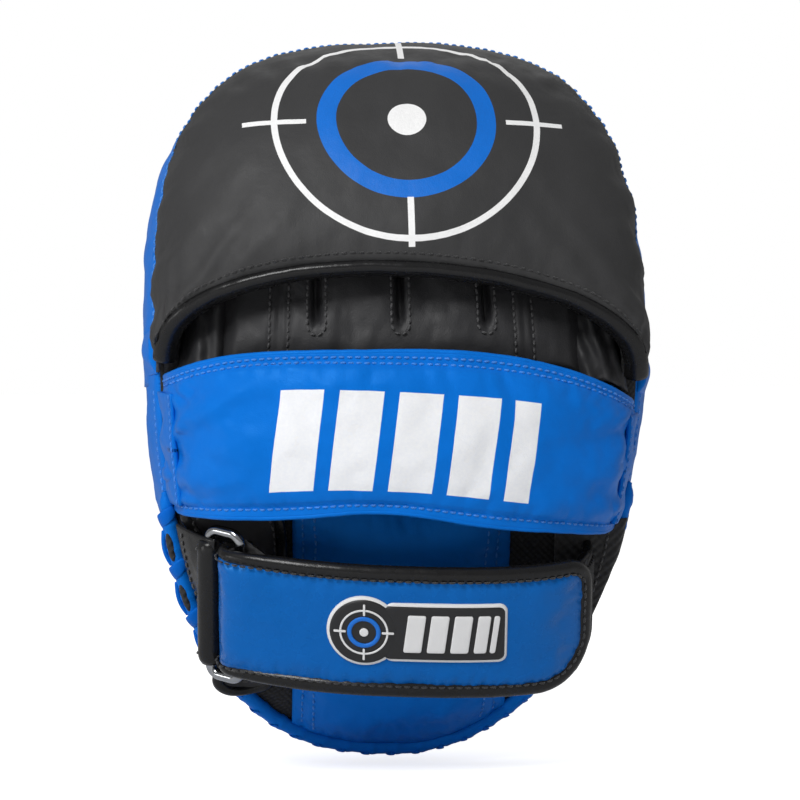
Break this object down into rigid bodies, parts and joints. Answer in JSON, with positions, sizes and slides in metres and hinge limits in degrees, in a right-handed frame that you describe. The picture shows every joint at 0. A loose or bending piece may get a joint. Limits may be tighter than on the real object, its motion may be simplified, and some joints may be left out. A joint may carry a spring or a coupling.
{
  "type": "focus mitt",
  "caption": "Left-hand curved focus mitt with a padded finger hood, knuckle band, wrist pad and a hook-and-loop strap folded round a steel ring.",
  "frame": {"origin": "middle of the palm surface of the pad, under the knuckle band", "axes": "+Z to the fingertips, -Y out of the back of the hand, +Y out of the strike face, +X to the thumb side"},
  "size_m": [0.19, 0.1218, 0.2761],
  "materials": {
    "black_leather": "matte",
    "blue_leather": "satin",
    "blue_gloss": "gloss",
    "foam": "matte",
    "black_fabric": "matte",
    "black_binding": "satin",
    "blue_cord": "satin",
    "hook_loop": "matte",
    "badge_rubber": "matte",
    "ring_metal": "polished"
  },
  "bodies": {
    "mitt": {"face_cover": "black_leather", "foam_front": "foam", "foam_core": "foam", "foam_back": "foam", "back_panel": "black_fabric", "gusset_upper": "blue_leather", "gusset_lower": "blue_leather", "edge_binding": "blue_leather", "edge_lacing": "blue_cord", "hood_cover": "black_leather", "hood_foam": "foam", "hood_lining": "black_fabric", "hood_binding": "black_binding", "finger_stalls": "black_leather", "thumb_stall": "black_leather", "palm_ball": "black_leather", "band_cover": "blue_leather", "band_foam": "foam", "band_lining": "black_fabric", "wrist_pad_cover": "blue_leather", "wrist_pad_foam": "foam", "strap_leg": "black_fabric", "strap_loop_patch": "hook_loop", "ring_tab": "black_leather"},
    "ring": {"strap_ring": "ring_metal"},
    "flap": {"flap_cover": "blue_gloss", "flap_foam": "foam", "flap_lining": "black_fabric", "flap_binding": "black_binding", "flap_hook_patch": "hook_loop", "flap_badge": "badge_rubber"}
  },
  "joints": [
    {"name": "strap_peel", "type": "hinge", "parent": "mitt", "child": "flap", "pos_m": [-0.06138, -0.01322, -0.0781], "axis": [0, 0.3046, -0.9525], "range_deg": [0, 105]},
    {"name": "ring_swing", "type": "hinge", "parent": "mitt", "child": "ring", "pos_m": [-0.07222, -0.00572, -0.0757], "axis": [0, 0.3046, -0.9525], "range_deg": [-5, 5]}
  ]
}
